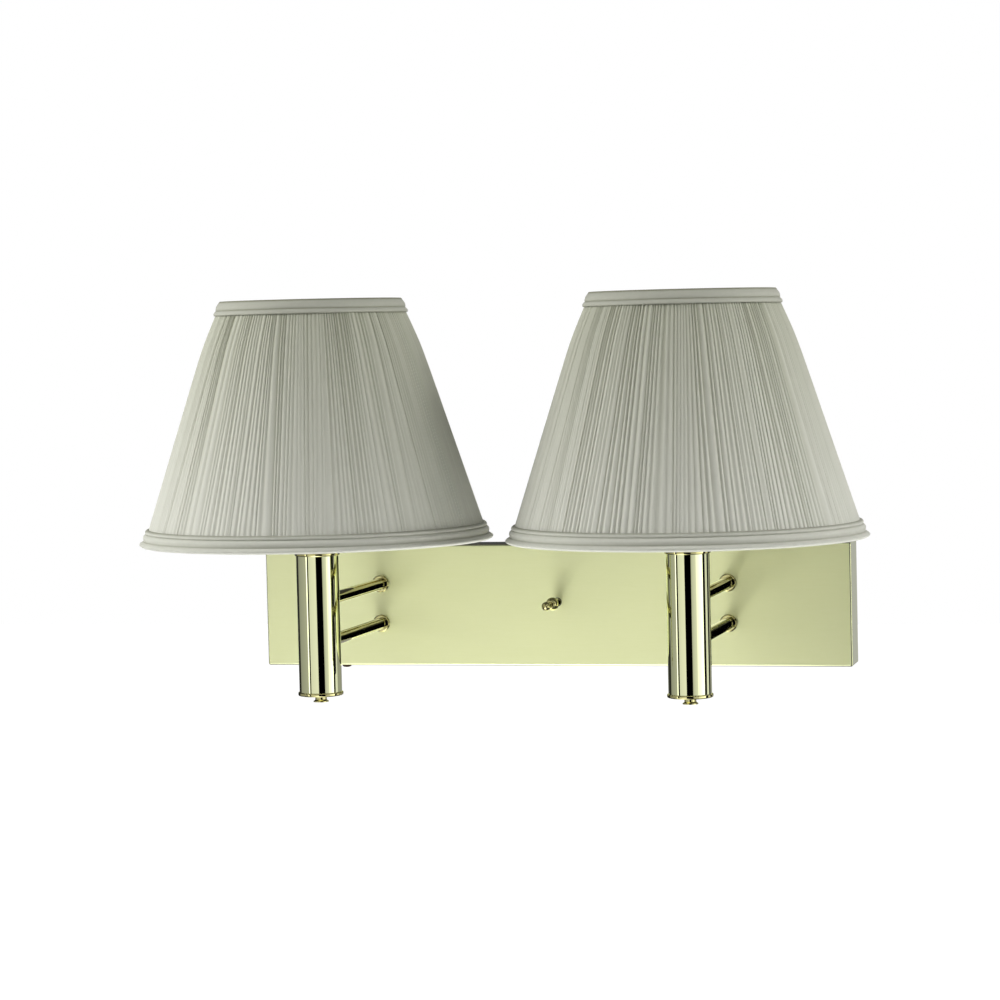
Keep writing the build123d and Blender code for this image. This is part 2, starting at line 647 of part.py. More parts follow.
def shade_frame():
    """Welded wire frame: two rings, ribs, spider arms and the hub that hangs on the harp."""
    low_r = skin_radius(ring_low) - ring_inset
    high_r = skin_radius(ring_high) - ring_inset
    frame = wire_ring(low_r, ring_low) + wire_ring(high_r, ring_high)
    rib_path = FilletPolyline(at(low_r, ring_low), at(SKIN_KNEE_R - rib_inset, knee_z), at(high_r, ring_high),
                              radius=KNEE_BEND)
    rib = wire(rib_path, RIB_WIRE)
    frame += [Rot(0, 0, 360 / RIB_COUNT * (i + 0.5)) * rib for i in range(RIB_COUNT)]
    arm_z = hub_z + RING_WIRE / 2
    arm_path = FilletPolyline(at(HUB_OD / 2 - HUB_GRIP, arm_z), at(SPIDER_REACH, arm_z), at(high_r, ring_high),
                              radius=SPIDER_BEND)
    spider = wire(arm_path, RING_WIRE)
    frame += rod(HUB_OD / 2, hub_z, hub_z + HUB_SHEET)
    frame += [Rot(0, 0, 360 / SPIDER_ARMS * i + 90) * spider for i in range(SPIDER_ARMS)]
    return frame - rod(HARP_STUD / 2 + SLIP, hub_z, hub_z + HUB_SHEET)


def shade_top_trim():
    """Bound cloth edge over the top ends of the pleats and the lining: a wide roll and a cord below it."""
    foot = shade_top - TOP_TRIM_HEIGHT
    groove = foot + TOP_CORD_ROLL
    inside = skin_radius(skin_high) - lining_inner
    seat = skin_high + LAYER
    outside = skin_radius(skin_high) + LAYER
    foot_r = skin_radius(foot) + LAYER
    groove_r = skin_radius(groove) + LAYER + ROLL_FOOT
    middle = (groove + shade_top) / 2
    roll = ThreePointArc(at(outside, shade_top), at(skin_radius(middle) + LAYER + TOP_TRIM_BULGE, middle),
                         at(groove_r, groove))
    middle = (foot + groove) / 2
    cord = ThreePointArc(at(groove_r, groove),
                         at(skin_radius(middle) + LAYER + ROLL_FOOT + TOP_CORD_BULGE, middle),
                         at(foot_r + ROLL_FOOT, foot))
    return turned(
        roll,
        cord,
        Polyline(at(foot_r + ROLL_FOOT, foot), at(foot_r, foot), at(outside, seat), at(inside, seat),
                 at(inside, shade_top), at(outside, shade_top)))


def shade_bottom_trim():
    """Corded cloth edge under the bottom ends: a flared edge roll, a wide roll and a thin roll."""
    levels = [SHADE_BOTTOM, SHADE_BOTTOM + BOTTOM_EDGE_ROLL,
              SHADE_BOTTOM + BOTTOM_EDGE_ROLL + BOTTOM_WIDE_ROLL, SHADE_BOTTOM + BOTTOM_TRIM_HEIGHT]
    inside = skin_radius(skin_low) - lining_inner
    seat = skin_low - LAYER
    groove = [at(skin_radius(z) + LAYER + ROLL_FOOT, z) for z in levels]
    rolls = []
    bulges = [BOTTOM_EDGE_BULGE, BOTTOM_ROLL_BULGE, BOTTOM_ROLL_BULGE]
    for low, high, a, b, bulge in zip(levels, levels[1:], groove, groove[1:], bulges):
        middle = (low + high) / 2
        rolls.append(ThreePointArc(a, at(skin_radius(middle) + LAYER + ROLL_FOOT + bulge, middle), b))
    crown = levels[-1]
    return turned(
        *rolls,
        Polyline(groove[-1], at(skin_radius(crown) + LAYER, crown), at(skin_radius(seat) + LAYER, seat),
                 at(inside, seat), at(inside, SHADE_BOTTOM), groove[0]))


def shade_finial():
    """Small turned nut on the harp's stud, above the hub."""
    seat = hub_z + HUB_SHEET + SEAT
    radius = SHADE_FINIAL_OD / 2
    knob = rod(radius, seat, seat + SHADE_FINIAL_HEIGHT)
    knob = fillet(knob.edges().group_by(Axis.Z)[-1], radius * 0.8)
    return knob - rod(HARP_STUD / 2 + SLIP, seat, hub_z + HUB_SHEET + SHADE_FINIAL_GRIP + HOLE_SPARE)


# Leads behind the plate, in the lamp's own frame

def lamp_lead(side):
    """Twin lead from the socket, down the pipe, along the upper arm and across to the switch."""
    x = side * COLUMN_SPACING / 2
    end_x = SWITCH_X + side * SWITCH_OD / 2
    down_x = end_x + side * LEAD_DROP
    points = [(x, column_y, shell_low), (x, column_y, upper_z), (x, -LEAD_PLANE, upper_z),
              (down_x, -LEAD_PLANE, upper_z), (down_x - side * LEAD_DROP / 2, -LEAD_PLANE, SWITCH_Z),
              (end_x, -LEAD_PLANE, SWITCH_Z)]
    return wire(FilletPolyline(*points, radius=[LEAD_BEND, LEAD_TURN, LEAD_TURN, LEAD_TURN]), LEAD_OD)


def supply_parts(side):
    """Short lead from the foot of the switch and the twist-on connector at its end."""
    x = SWITCH_X + side * SUPPLY_OFFSET
    y = switch_y + SWITCH_DEPTH / 2
    top = SWITCH_Z - SWITCH_FLAT
    low = top - SUPPLY_DROP
    end_x = x + side * SUPPLY_RUN
    lead = wire(FilletPolyline((x, y, top), (x, y, low), (end_x, y, low), radius=LEAD_TURN), LEAD_OD)
    body = Cone(CONNECTOR_OD / 2, CONNECTOR_TIP / 2, CONNECTOR_LENGTH,
                align=(Align.CENTER, Align.CENTER, Align.MIN))
    return lead, Pos(end_x, y, low) * Rot(0, 90 * side, 0) * body


# Assembly

def save(name, shape):
    """Write one node. A list of solids becomes a group."""
    group = Compound(children=shape) if isinstance(shape, list) else shape
    export_step(group, f"parts/{name}.step")


LAMP_PIECES = [column_tube, column_base_cap, column_top_cap, base_finial, arm_block, upper_arm, lower_arm,
               centre_pipe, harp_saddle, harp, socket_cap, socket_shell, socket_insert, bulb_base, bulb_glass,
               shade_frame, shade_lining, shade_pleats, shade_top_trim, shade_bottom_trim, shade_finial]
PLATE_PIECES = [backplate, wall_bracket, lock_screws, ground_screw, switch_bracket, switch_body, switch_nut,
                switch_knob]

os.makedirs("parts", exist_ok=True)
sides = {"left": -1, "right": 1}
lamp_places = [Pos(side * COLUMN_SPACING / 2, column_y, 0) for side in sides.values()]

for make in PLATE_PIECES:
    save(make.__name__, make())
for make in LAMP_PIECES:
    piece = make()
    for label, place in zip(sides, lamp_places):
        save(f"{label}_{make.__name__}", place * piece)

arm_places = [place * Pos(0, 0, z) for place in lamp_places for z in (lower_z, upper_z)]
leg_places = [place * Pos(x, 0, 0) for place in lamp_places for x in (-SADDLE_HALF, SADDLE_HALF)]
save("arm_collars", [place * arm_collar() for place in arm_places])
save("arm_nuts", [place * arm_nut() for place in arm_places])
save("harp_ferrules", [place * harp_ferrule() for place in leg_places])
save("saddle_nuts", [place * saddle_nut() for place in lamp_places])
for label, side in sides.items():
    save(f"{label}_lamp_lead", lamp_lead(side))
supply = [supply_parts(side) for side in sides.values()]
save("supply_leads", [lead for lead, body in supply])
save("wire_connectors", [body for lead, body in supply])
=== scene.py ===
import bmesh
import bpy
import math
import random
from mathutils import Matrix, Vector


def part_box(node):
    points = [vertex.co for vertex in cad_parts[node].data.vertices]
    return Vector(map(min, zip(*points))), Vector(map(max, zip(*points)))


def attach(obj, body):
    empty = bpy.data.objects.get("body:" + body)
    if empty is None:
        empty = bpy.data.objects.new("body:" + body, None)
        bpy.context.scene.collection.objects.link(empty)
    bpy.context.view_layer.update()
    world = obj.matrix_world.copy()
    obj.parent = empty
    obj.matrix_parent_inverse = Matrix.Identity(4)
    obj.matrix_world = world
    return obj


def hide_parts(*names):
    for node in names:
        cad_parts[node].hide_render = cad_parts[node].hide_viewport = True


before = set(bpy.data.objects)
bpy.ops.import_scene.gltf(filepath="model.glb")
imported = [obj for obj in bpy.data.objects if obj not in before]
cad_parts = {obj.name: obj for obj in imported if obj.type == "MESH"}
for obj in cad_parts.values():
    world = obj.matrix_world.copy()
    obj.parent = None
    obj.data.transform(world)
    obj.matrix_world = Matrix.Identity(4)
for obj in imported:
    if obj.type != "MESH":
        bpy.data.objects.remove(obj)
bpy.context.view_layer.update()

# Viewpoint
# A long lens a little above the middle of the shades, to the right of the lamp and turned towards it.
# The picture is level but for a slight tilt of the hand.
EYE = Vector((0.5568, -2.3912, 0.2132))
YAW = math.radians(14.205)
PITCH = math.radians(-3.058)
ROLL = math.radians(-1.356)
LENS_MM = 111.365
SENSOR_MM = 36.0

lens = bpy.data.cameras.new("viewpoint")
lens.lens = LENS_MM
lens.sensor_width = SENSOR_MM
viewpoint = bpy.data.objects.new("viewpoint", lens)
turn = (Matrix.Rotation(YAW, 4, "Z") @ Matrix.Rotation(math.pi / 2 + PITCH, 4, "X")
        @ Matrix.Rotation(ROLL, 4, "Z"))
viewpoint.matrix_world = Matrix.Translation(EYE) @ turn
bpy.context.scene.collection.objects.link(viewpoint)
bpy.context.scene.camera = viewpoint
bpy.context.scene.view_settings.view_transform = "Standard"

# Studio
# A white room with a pale floor and soft boxes at both sides, high in front, behind and underneath.
# The metal mirrors a light tent instead: bright cloth on dark backings, seams, the slit for the lens,
# a table and a small black flag beside the right-hand end of the wall plate.
AMBIENT_LOW = 0.14
AMBIENT_HIGH = 0.19
FLOOR_Z = -0.60
FLOOR_HALF = 6.0
FLOOR_TONE = (0.86, 0.86, 0.85, 1.0)
FLOOR_GLOW = 0.86
FLOOR_ROUGHNESS = 0.9
LAMP_MIDDLE = Vector((0.0, -0.2, 0.12))
CARD_LOW = -0.9
CARD_HIGH = 0.55
STRIP_LOW = -0.42
STRIP_HIGH = 0.15
FLAG_X = 0.262
FLAG_LOW = -0.08
FLAG_HIGH = 0.06
TABLE_Z = -0.55
TABLE_FRONT = -2.2
TABLE_BACK = -0.15
CEILING_Z = 0.60


def place(tree, kind, values=None, **settings):
    """A shader node with its settings and the values of its inputs."""
    made = tree.nodes.new(kind)
    for name, value in settings.items():
        setattr(made, name, value)
    for name, value in (values or {}).items():
        made.inputs[name].default_value = value
    return made


def seen_directly(tree):
    """1 for rays of the camera, mirrors and glass, 0 for rays that only carry light."""
    path = place(tree, "ShaderNodeLightPath")
    either = place(tree, "ShaderNodeMath", operation="MAXIMUM")
    tree.links.new(path.outputs["Is Camera Ray"], either.inputs[0])
    tree.links.new(path.outputs["Is Glossy Ray"], either.inputs[1])
    any_ray = place(tree, "ShaderNodeMath", operation="MAXIMUM")
    tree.links.new(either.outputs[0], any_ray.inputs[0])
    tree.links.new(path.outputs["Is Transmission Ray"], any_ray.inputs[1])
    return any_ray.outputs[0]


def new_finish(name):
    """A material that uses nodes, with its tree and its shader."""
    finish = bpy.data.materials.new(name)
    finish.use_nodes = True
    return finish, finish.node_tree, finish.node_tree.nodes["Principled BSDF"]


def white_room():
    """Background: plain white to the eye, with a little more light from above than from below."""
    world = bpy.data.worlds.new("white_room")
    world.use_nodes = True
    tree = world.node_tree
    tree.nodes.clear()
    where = place(tree, "ShaderNodeTexCoord")
    split = place(tree, "ShaderNodeSeparateXYZ")
    fall = place(tree, "ShaderNodeMapRange", {"From Min": -1.0, "From Max": 1.0, "To Min": AMBIENT_LOW,
                                              "To Max": AMBIENT_HIGH})
    light = place(tree, "ShaderNodeBackground", {"Color": (1.0, 1.0, 1.0, 1.0)})
    white = place(tree, "ShaderNodeBackground", {"Color": (1.0, 1.0, 1.0, 1.0), "Strength": 1.0})
    either = place(tree, "ShaderNodeMixShader")
    out = place(tree, "ShaderNodeOutputWorld")
    tree.links.new(where.outputs["Generated"], split.inputs[0])
    tree.links.new(split.outputs["Z"], fall.inputs["Value"])
    tree.links.new(fall.outputs[0], light.inputs["Strength"])
    tree.links.new(seen_directly(tree), either.inputs["Fac"])
    tree.links.new(light.outputs[0], either.inputs[1])
    tree.links.new(white.outputs[0], either.inputs[2])
    tree.links.new(either.outputs[0], out.inputs["Surface"])
    bpy.context.scene.world = world


def to_object(name, mesh_tool, materials=()):
    """The finished mesh as an object at the origin."""
    mesh = bpy.data.meshes.new(name)
    mesh_tool.to_mesh(mesh)
    mesh_tool.free()
    for material in materials:
        mesh.materials.append(material)
    made = bpy.data.objects.new(name, mesh)
    bpy.context.scene.collection.objects.link(made)
    return made


def pale_floor():
    """Pale floor that keeps soft shadows, looks white where it is lit and is clear from below."""
    finish, tree, skin = new_finish("pale_floor")
    skin.inputs["Base Color"].default_value = FLOOR_TONE
    skin.inputs["Roughness"].default_value = FLOOR_ROUGHNESS
    skin.inputs["Emission Color"].default_value = (1.0, 1.0, 1.0, 1.0)
    glow = place(tree, "ShaderNodeMath", {1: FLOOR_GLOW}, operation="MULTIPLY")
    tree.links.new(seen_directly(tree), glow.inputs[0])
    tree.links.new(glow.outputs[0], skin.inputs["Emission Strength"])
    seen = place(tree, "ShaderNodeNewGeometry")
    clear = place(tree, "ShaderNodeBsdfTransparent")
    either = place(tree, "ShaderNodeMixShader")
    tree.links.new(seen.outputs["Backfacing"], either.inputs["Fac"])
    tree.links.new(skin.outputs[0], either.inputs[1])
    tree.links.new(clear.outputs[0], either.inputs[2])
    tree.links.new(either.outputs[0], tree.nodes["Material Output"].inputs["Surface"])
    tool = bmesh.new()
    bmesh.ops.create_grid(tool, x_segments=1, y_segments=1, size=FLOOR_HALF,
                          matrix=Matrix.Translation((0.0, 0.0, FLOOR_Z)))
    to_object("pale_floor", tool, [finish])


def soft_box(name, spot, size, power):
    """Soft light aimed at the lamp. The metal doesn't show it."""
    light = bpy.data.lights.new(name, "AREA")
    light.shape = "RECTANGLE"
    light.size, light.size_y = size
    light.energy = power
    made = bpy.data.objects.new(name, light)
    aim = LAMP_MIDDLE - Vector(spot)
    made.matrix_world = Matrix.Translation(spot) @ aim.to_track_quat("-Z", "Y").to_matrix().to_4x4()
    made.visible_glossy = False
    bpy.context.scene.collection.objects.link(made)


def tent_card(name, corner, run, rise, tones):
    """Flat piece of the tent that changes tone along its run, seen only in the metal."""
    finish, tree, _ = new_finish(name)
    tree.nodes.clear()
    where = place(tree, "ShaderNodeTexCoord")
    split = place(tree, "ShaderNodeSeparateXYZ")
    fade = place(tree, "ShaderNodeMapRange", {"To Min": tones[0], "To Max": tones[1]})
    shine = place(tree, "ShaderNodeEmission", {"Color": (1.0, 1.0, 1.0, 1.0)})
    out = place(tree, "ShaderNodeOutputMaterial")
    tree.links.new(where.outputs["UV"], split.inputs[0])
    tree.links.new(split.outputs["X"], fade.inputs["Value"])
    tree.links.new(fade.outputs[0], shine.inputs["Strength"])
    tree.links.new(shine.outputs[0], out.inputs["Surface"])
    run, rise = Vector(run), Vector(rise)
    spread = Matrix((run, rise, run.cross(rise))).transposed().to_4x4()
    tool = bmesh.new()
    tool.loops.layers.uv.new("UVMap")
    bmesh.ops.create_grid(tool, x_segments=1, y_segments=1, size=0.5, calc_uvs=True,
                          matrix=Matrix.Translation(Vector(corner) + run / 2 + rise / 2) @ spread)
    card = to_object(name, tool, [finish])
    card.visible_camera = False
    card.visible_diffuse = False
    card.visible_shadow = False
    card.visible_transmission = False


def tent_wall(name, start, end, tones, low=CARD_LOW, high=CARD_HIGH):
    """Upright card between two points of the plan."""
    run = (end[0] - start[0], end[1] - start[1], 0.0)
    tent_card(name, (*start, low), run, (0.0, 0.0, high - low), tones)


def tent_strip(name, start, end, tones):
    """Low upright card, as high as the columns mirror."""
    tent_wall(name, start, end, tones, STRIP_LOW, STRIP_HIGH)


white_room()
pale_floor()
soft_box("left_soft_box", (-1.50, -0.68, 0.75), (0.9, 0.9), 23.0)
soft_box("right_soft_box", (1.48, -0.36, 0.75), (0.9, 0.9), 14.5)
soft_box("front_soft_box", (0.10, -1.60, 0.90), (0.9, 0.6), 3.6)
soft_box("table_bounce", (0.05, -0.12, -0.50), (1.1, 0.4), 5.0)
soft_box("back_soft_box", (0.0, 1.90, 0.70), (1.2, 0.8), 9.0)
tent_strip("lens_slit", (0.020, -1.283), (0.485, -0.930), (0.0, 0.0))
tent_wall("lens_backing", (0.0, -1.31), (0.52, -0.95), (0.08, 0.08))
tent_wall("left_seam", (-0.743, -0.857), (-0.840, -1.212), (0.01, 0.01))
tent_strip("left_pale_cloth", (-0.90, -1.30), (-0.46, -1.45), (1.02, 1.11))
tent_wall("left_pale_backing", (-0.93, -1.34), (-0.46, -1.50), (0.08, 0.08))
tent_wall("left_bright_cloth", (-0.46, -1.45), (-0.02, -1.60), (1.11, 1.20))
tent_strip("left_white_cloth", (-0.80, -0.769), (-0.743, -0.857), (2.4, 2.8))
tent_wall("left_white_backing", (-0.82, -0.76), (-0.76, -0.87), (0.05, 0.05))
tent_strip("left_grey_wall", (-0.96, 0.113), (-0.80, -0.769), (0.40, 0.60))
tent_wall("left_grey_backing", (-0.99, 0.113), (-0.83, -0.78), (0.08, 0.08))
tent_wall("left_dark_wall", (-0.60, 0.80), (-0.96, 0.113), (0.03, 0.03))
tent_strip("right_grey_cloth", (0.50, -1.10), (0.70, -0.625), (0.58, 1.05))
tent_strip("right_bright_cloth", (0.70, -0.625), (0.90, -0.15), (1.5, 2.8))
tent_wall("right_backing", (0.54, -1.12), (0.94, -0.15), (0.05, 0.05))
tent_wall("right_seam", (0.90, -0.15), (0.80, 0.05), (0.01, 0.01))
tent_wall("end_flag", (FLAG_X, -0.115), (FLAG_X, -0.042), (0.01, 0.01), FLAG_LOW, FLAG_HIGH)
tent_wall("back_wall", (-0.90, 0.45), (0.24, 0.45), (0.06, 0.06))
tent_card("back_table", (-0.35, 0.44, CARD_LOW), (0.59, 0.0, 0.0), (0.0, 0.0, 0.88), (0.40, 0.40))
tent_wall("back_corner", (0.24, 0.45), (0.90, 0.45), (0.45, 0.45))
for part, start, end, tones in (("far_left", -1.5, -0.60, (0.05, 0.05)), ("left", -0.60, -0.12, (0.05, 4.3)),
                                ("right", -0.12, 0.22, (4.3, 0.2)), ("far_right", 0.22, 1.45, (0.2, 0.05))):
    tent_card(f"table_{part}", (start, TABLE_FRONT, TABLE_Z), (end - start, 0.0, 0.0),
              (0.0, TABLE_BACK - TABLE_FRONT, 0.0), tones)
tent_card("dark_table", (-1.0, TABLE_BACK, TABLE_Z), (2.0, 0.0, 0.0), (0.0, 0.6, 0.0), (0.04, 0.04))
tent_card("dark_ceiling", (-1.6, -2.4, CEILING_Z), (3.2, 0.0, 0.0), (0.0, 3.0, 0.0), (0.14, 0.14))

# Wall bracket, nuts and small screws
# Bracket, strap and nuts are steel with a dull zinc plating. They are bolted together behind the wall plate.
# The earth screw is dyed green and the two screws that lock the plate are dark bronze.
MARK_DEPTH = 0.0002


def shared_effect(name, inputs, outputs):
    """An empty node group with its named inputs and outputs."""
    group = bpy.data.node_groups.new(name, "ShaderNodeTree")
    for way, sockets in (("INPUT", inputs), ("OUTPUT", outputs)):
        for label, kind in sockets.items():
            group.interface.new_socket(label, in_out=way, socket_type=f"NodeSocket{kind}")
    return group


def worn_metal():
    """Shared effect: clouds of tone, fine rubbing marks and the relief of those marks."""
    group = shared_effect("worn_metal", {"Tone": "Color", "Shade": "Color", "Cloud Scale": "Float",
                                         "Smooth": "Float", "Dull": "Float", "Grain": "Vector"},
                          {"Color": "Color", "Roughness": "Float", "Height": "Float"})
    given = place(group, "NodeGroupInput")
    where = place(group, "ShaderNodeTexCoord")
    cloud = place(group, "ShaderNodeTexNoise", {"Detail": 3.0, "Roughness": 0.55})
    blend = place(group, "ShaderNodeMix", data_type="RGBA")
    stretch = place(group, "ShaderNodeMapping")
    marks = place(group, "ShaderNodeTexNoise", {"Scale": 1.0, "Detail": 5.0, "Roughness": 0.6})
    wear = place(group, "ShaderNodeMapRange", {"From Min": 0.3, "From Max": 0.7})
    out = place(group, "NodeGroupOutput")
    group.links.new(where.outputs["Object"], cloud.inputs["Vector"])
    group.links.new(given.outputs["Cloud Scale"], cloud.inputs["Scale"])
    group.links.new(cloud.outputs["Fac"], blend.inputs["Factor"])
    group.links.new(given.outputs["Tone"], blend.inputs["A"])
    group.links.new(given.outputs["Shade"], blend.inputs["B"])
    group.links.new(where.outputs["Object"], stretch.inputs["Vector"])
    group.links.new(given.outputs["Grain"], stretch.inputs["Scale"])
    group.links.new(stretch.outputs[0], marks.inputs["Vector"])
    group.links.new(marks.outputs["Fac"], wear.inputs["Value"])
    group.links.new(given.outputs["Smooth"], wear.inputs["To Min"])
    group.links.new(given.outputs["Dull"], wear.inputs["To Max"])
    group.links.new(blend.outputs["Result"], out.inputs["Color"])
    group.links.new(wear.outputs[0], out.inputs["Roughness"])
    group.links.new(marks.outputs["Fac"], out.inputs["Height"])
    return group


WORN_METAL = worn_metal()


def metal(name, tone, shade, smooth, dull, grain, relief, cloud=40.0, metallic=1.0):
    """A metal finish with its own tones, polish and direction of rubbing."""
    finish, tree, skin = new_finish(name)
    skin.inputs["Metallic"].default_value = metallic
    effect = place(tree, "ShaderNodeGroup",
                   {"Tone": (*tone, 1.0), "Shade": (*shade, 1.0), "Cloud Scale": cloud, "Smooth": smooth,
                    "Dull": dull, "Grain": grain}, node_tree=WORN_METAL)
    bump = place(tree, "ShaderNodeBump", {"Strength": relief, "Distance": MARK_DEPTH})
    tree.links.new(effect.outputs["Color"], skin.inputs["Base Color"])
    tree.links.new(effect.outputs["Roughness"], skin.inputs["Roughness"])
    tree.links.new(effect.outputs["Height"], bump.inputs["Height"])
    tree.links.new(bump.outputs["Normal"], skin.inputs["Normal"])
    return finish


def finish_nodes(material, *names):
    """Gives CAD pieces their finish."""
    for name in names:
        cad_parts[name].material_slots[0].material = material


SIDES = ("left", "right")
zinc = metal("zinc_plate", (0.52, 0.53, 0.54), (0.40, 0.41, 0.43), 0.28, 0.48,
             (900.0, 900.0, 900.0), 0.10, cloud=90.0)
dark_bronze = metal("dark_bronze", (0.090, 0.048, 0.024), (0.060, 0.032, 0.017), 0.30, 0.45,
                    (1200.0, 1200.0, 1200.0), 0.08, cloud=300.0, metallic=0.6)
earth_green = metal("earth_green", (0.010, 0.14, 0.035), (0.006, 0.10, 0.025), 0.25, 0.40,
                    (1200.0, 1200.0, 1200.0), 0.08, cloud=300.0, metallic=0.7)
finish_nodes(zinc, "wall_bracket", "switch_bracket", "switch_nut", "arm_nuts", "saddle_nuts")
finish_nodes(zinc, *(f"{side}_centre_pipe" for side in SIDES))
finish_nodes(dark_bronze, "lock_screws")
finish_nodes(earth_green, "ground_screw")

# Wall plate
# One long pan of brass sheet, its edges turned back and rounded. The face has a satin grain along its length
# under lacquer and the bends are polished. It hangs on the bracket and two screws in its edges lock it.
BEND_POLISH = 0.06
BEND_START = 0.00002
BEND_FULL = 0.00008


def satin_face(finish, front):
    """Polishes the bends, and the outside as other metal mirrors it. The rest keeps its grain."""
    tree = finish.node_tree
    skin = tree.nodes["Principled BSDF"]
    where = place(tree, "ShaderNodeTexCoord")
    split = place(tree, "ShaderNodeSeparateXYZ")
    facing = place(tree, "ShaderNodeVectorMath", operation="DOT_PRODUCT")
    outside = place(tree, "ShaderNodeMath", {1: 0.0}, operation="GREATER_THAN")
    polished = place(tree, "ShaderNodeMath", operation="MULTIPLY")
    bend = place(tree, "ShaderNodeMapRange", {"From Min": front + BEND_START, "From Max": front + BEND_FULL})
    path = place(tree, "ShaderNodeLightPath")
    bright = place(tree, "ShaderNodeMath", operation="MAXIMUM")
    polish = place(tree, "ShaderNodeMapRange", {"To Max": BEND_POLISH})
    tree.links.new(where.outputs["Object"], split.inputs[0])
    tree.links.new(split.outputs["Y"], bend.inputs["Value"])
    tree.links.new(bend.outputs[0], bright.inputs[0])
    tree.links.new(path.outputs["Is Glossy Ray"], bright.inputs[1])
    tree.links.new(where.outputs["Object"], facing.inputs[0])
    tree.links.new(where.outputs["Normal"], facing.inputs[1])
    tree.links.new(facing.outputs["Value"], outside.inputs[0])
    tree.links.new(bright.outputs[0], polished.inputs[0])
    tree.links.new(outside.outputs[0], polished.inputs[1])
    tree.links.new(polished.outputs[0], polish.inputs["Value"])
    tree.links.new(skin.inputs["Roughness"].links[0].from_socket, polish.inputs["To Min"])
    tree.links.new(polish.outputs[0], skin.inputs["Roughness"])


satin_brass = metal("satin_brass", (0.88, 0.91, 0.57), (0.84, 0.87, 0.54), 0.60, 0.66,
                    (60.0, 900.0, 900.0), 0.05, cloud=14.0)
satin_face(satin_brass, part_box("backplate")[0].y)
finish_nodes(satin_brass, "backplate")

# Arms and columns
# Brass polished like a mirror and lacquered. The turned pieces get a deeper tone than the drawn tubes, a
# darker copy of the same brass that paints in shade.
# The arms screw through the plate into a block inside each column.
polished_brass = metal("polished_brass", (0.67, 0.69, 0.43), (0.62, 0.64, 0.39), 0.015, 0.04,
                       (500.0, 500.0, 160.0), 0.004, cloud=25.0)
# Painted shade: a darker copy of the brass for the turned pieces, the arms and the knob.
turned_brass_painted_shade = metal("turned_brass_painted_shade", (0.54, 0.51, 0.25), (0.47, 0.44, 0.21), 0.02, 0.05,
                     (500.0, 500.0, 500.0), 0.004, cloud=25.0)
block_brass = metal("block_brass", (0.58, 0.46, 0.19), (0.50, 0.39, 0.16), 0.20, 0.34,
                    (700.0, 700.0, 90.0), 0.06)
for side in SIDES:
    finish_nodes(polished_brass, f"{side}_column_tube")
    finish_nodes(turned_brass_painted_shade, f"{side}_column_base_cap", f"{side}_column_top_cap", f"{side}_base_finial",
                 f"{side}_upper_arm", f"{side}_lower_arm")
    finish_nodes(block_brass, f"{side}_arm_block")
finish_nodes(turned_brass_painted_shade, "arm_collars", "switch_knob")

# Sockets, harps and bulbs
# Rolled brass sockets with a dark moulded insert, plated wire harps on a saddle, and frosted bulbs.
# A finial on the stud of each harp holds its shade.
socket_brass = metal("socket_brass", (0.60, 0.50, 0.24), (0.52, 0.42, 0.19), 0.12, 0.24,
                     (300.0, 300.0, 900.0), 0.03)
plated_wire = metal("plated_wire", (0.62, 0.56, 0.30), (0.54, 0.48, 0.25), 0.08, 0.20,
                    (600.0, 600.0, 600.0), 0.02)
bulb_metal = metal("bulb_metal", (0.62, 0.62, 0.60), (0.52, 0.52, 0.51), 0.25, 0.38,
                   (300.0, 300.0, 1500.0), 0.10)


def moulded(name, tone, shade, smooth, dull, relief):
    """Moulded plastic with a faint pebbled skin."""
    return metal(name, tone, shade, smooth, dull, (1600.0, 1600.0, 1600.0), relief,
                 cloud=120.0, metallic=0.0)


phenolic = moulded("phenolic", (0.020, 0.017, 0.015), (0.012, 0.011, 0.010), 0.32, 0.48, 0.15)
frosted_glass = moulded("frosted_glass", (0.86, 0.86, 0.83), (0.80, 0.80, 0.77), 0.28, 0.36, 0.02)
for side in SIDES:
    finish_nodes(socket_brass, f"{side}_socket_cap", f"{side}_socket_shell")
    finish_nodes(plated_wire, f"{side}_harp", f"{side}_harp_saddle", f"{side}_shade_finial")
    finish_nodes(phenolic, f"{side}_socket_insert")
    finish_nodes(bulb_metal, f"{side}_bulb_base")
    finish_nodes(frosted_glass, f"{side}_bulb_glass")
finish_nodes(plated_wire, "harp_ferrules")
finish_nodes(phenolic, "switch_body")

# Leads
# Twin lead in a clear gold sheath, from the sockets through the upper arms to the switch.
# Twist-on connectors of orange plastic close the ends that go to the house wiring.
lead_sheath = moulded("lead_sheath", (0.56, 0.48, 0.24), (0.50, 0.42, 0.20), 0.22, 0.34, 0.05)
connector_plastic = moulded("connector_plastic", (0.60, 0.12, 0.012), (0.52, 0.10, 0.010), 0.34, 0.48, 0.12)
finish_nodes(lead_sheath, "supply_leads", *(f"{side}_lamp_lead" for side in SIDES))
finish_nodes(connector_plastic, "wire_connectors")

# Shade frame
# Two rings, six ribs and a three-armed spider of welded wire, dipped in white enamel.
# The spider's hub drops over the harp's stud.
enamel = moulded("white_enamel", (0.78, 0.78, 0.75), (0.70, 0.70, 0.66), 0.25, 0.40, 0.10)
finish_nodes(enamel, *(f"{side}_shade_frame" for side in SIDES))

# Shade lining
# Stiff white laminate rolled into a cone, behind the pleats and over the ribs.
# It is glued along one upright seam and held between the two trims.
KNEE_RADIUS = 0.0808
KNEE_DROP = 0.033
CREST_RADIUS = 0.067
KNEE_ROUND = 0.0006
LINING_OUTER = 0.0025
LINING_INNER = 0.0035
LINING_ROWS = 14
LINING_STEPS = 120
LINING_SHARP = 40


